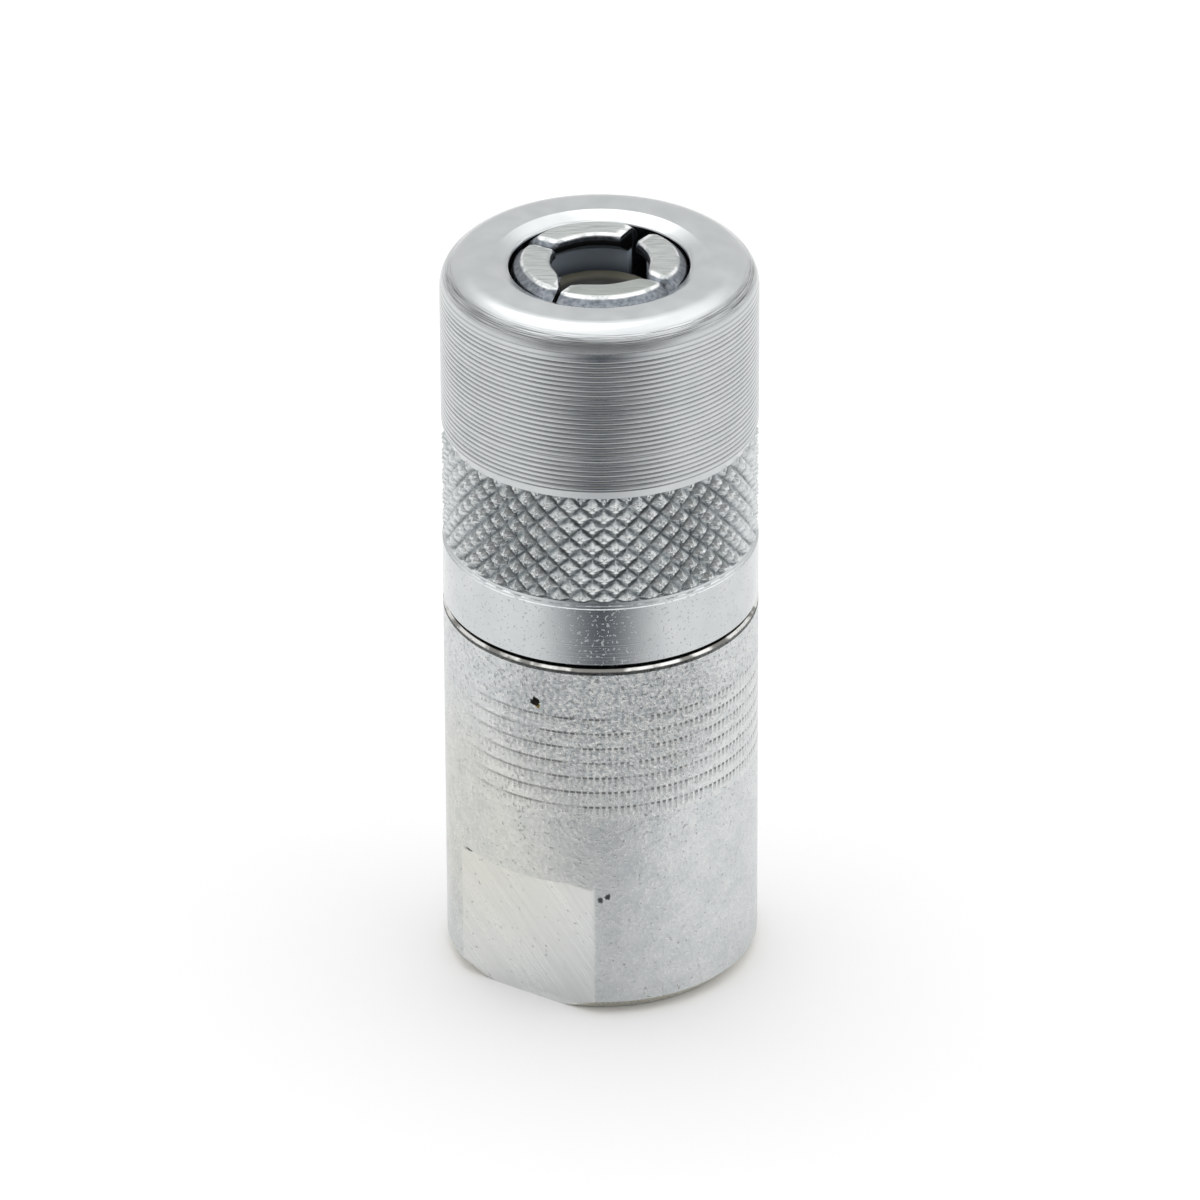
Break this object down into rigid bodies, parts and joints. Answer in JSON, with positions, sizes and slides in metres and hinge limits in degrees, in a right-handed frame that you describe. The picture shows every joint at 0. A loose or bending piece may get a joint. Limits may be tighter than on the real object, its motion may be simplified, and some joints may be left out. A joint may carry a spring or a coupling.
{
  "type": "grease coupler",
  "caption": "Cylindrical grease coupler with a threaded inlet, wrench flats, a check valve and a knurled screw-on nose sleeve whose sprung jaws grip a grease nipple.",
  "frame": {"origin": "centre of the foot, where the inlet thread opens", "axes": "+Z along the axis towards the mouth; the wrench flats face +Y and -Y"},
  "size_m": [0.015, 0.015, 0.037],
  "materials": {
    "zinc_plated_steel": "turned and zinc plated",
    "hardened_steel": "ground",
    "plain_steel": "turned",
    "spring_steel": "drawn wire",
    "ball_steel": "polished",
    "polyurethane": "moulded, satin",
    "nitrile_rubber": "moulded"
  },
  "bodies": {
    "coupler": {"coupler_body": "zinc_plated_steel", "spring_retainer": "plain_steel", "check_spring": "spring_steel"},
    "spring_stack": {"jaw_spring": "spring_steel"},
    "sleeve": {"nose_sleeve": "zinc_plated_steel"},
    "jaw_1": {"jaw_1": "hardened_steel"},
    "jaw_2": {"jaw_2": "hardened_steel"},
    "jaw_3": {"jaw_3": "hardened_steel"},
    "jaw_4": {"jaw_4": "hardened_steel"},
    "plunger": {"seal_plunger": "plain_steel", "nipple_seal": "polyurethane", "plunger_o_ring": "nitrile_rubber", "thrust_ring": "hardened_steel"},
    "ball": {"check_ball": "ball_steel"}
  },
  "joints": [
    {"name": "sleeve_turn", "type": "hinge", "parent": "coupler", "child": "spring_stack", "pos_m": [0, 0, 0.022], "axis": [0, 0, 1], "range_deg": [0, 1800]},
    {"name": "sleeve_lead", "type": "slide", "parent": "spring_stack", "child": "sleeve", "axis": [0, 0, 1], "range_m": [0, 0.005]},
    {"name": "plunger_retract", "type": "slide", "parent": "coupler", "child": "plunger", "axis": [0, 0, -1], "range_m": [0, 0.0028], "stiffness_N_per_m": 3000, "deforming": ["jaw_spring"]},
    {"name": "jaw_1_slide", "type": "slide", "parent": "sleeve", "child": "jaw_1", "axis": [0.1949, 0.1949, -0.9613], "range_m": [0, 0.00292]},
    {"name": "jaw_2_slide", "type": "slide", "parent": "sleeve", "child": "jaw_2", "axis": [-0.1949, 0.1949, -0.9613], "range_m": [0, 0.00292]},
    {"name": "jaw_3_slide", "type": "slide", "parent": "sleeve", "child": "jaw_3", "axis": [-0.1949, -0.1949, -0.9613], "range_m": [0, 0.00292]},
    {"name": "jaw_4_slide", "type": "slide", "parent": "sleeve", "child": "jaw_4", "axis": [0.1949, -0.1949, -0.9613], "range_m": [0, 0.00292]},
    {"name": "ball_lift", "type": "slide", "parent": "coupler", "child": "ball", "axis": [0, 0, 1], "range_m": [0, 0.0008], "stiffness_N_per_m": 60, "deforming": ["check_spring"]}
  ],
  "couplings": [
    {"joint": "sleeve_turn", "follows": "sleeve_lead", "rad_per_m": 6283.2},
    {"joint": "jaw_1_slide", "follows": "plunger_retract", "ratio": 1.0403},
    {"joint": "jaw_2_slide", "follows": "plunger_retract", "ratio": 1.0403},
    {"joint": "jaw_3_slide", "follows": "plunger_retract", "ratio": 1.0403},
    {"joint": "jaw_4_slide", "follows": "plunger_retract", "ratio": 1.0403}
  ]
}
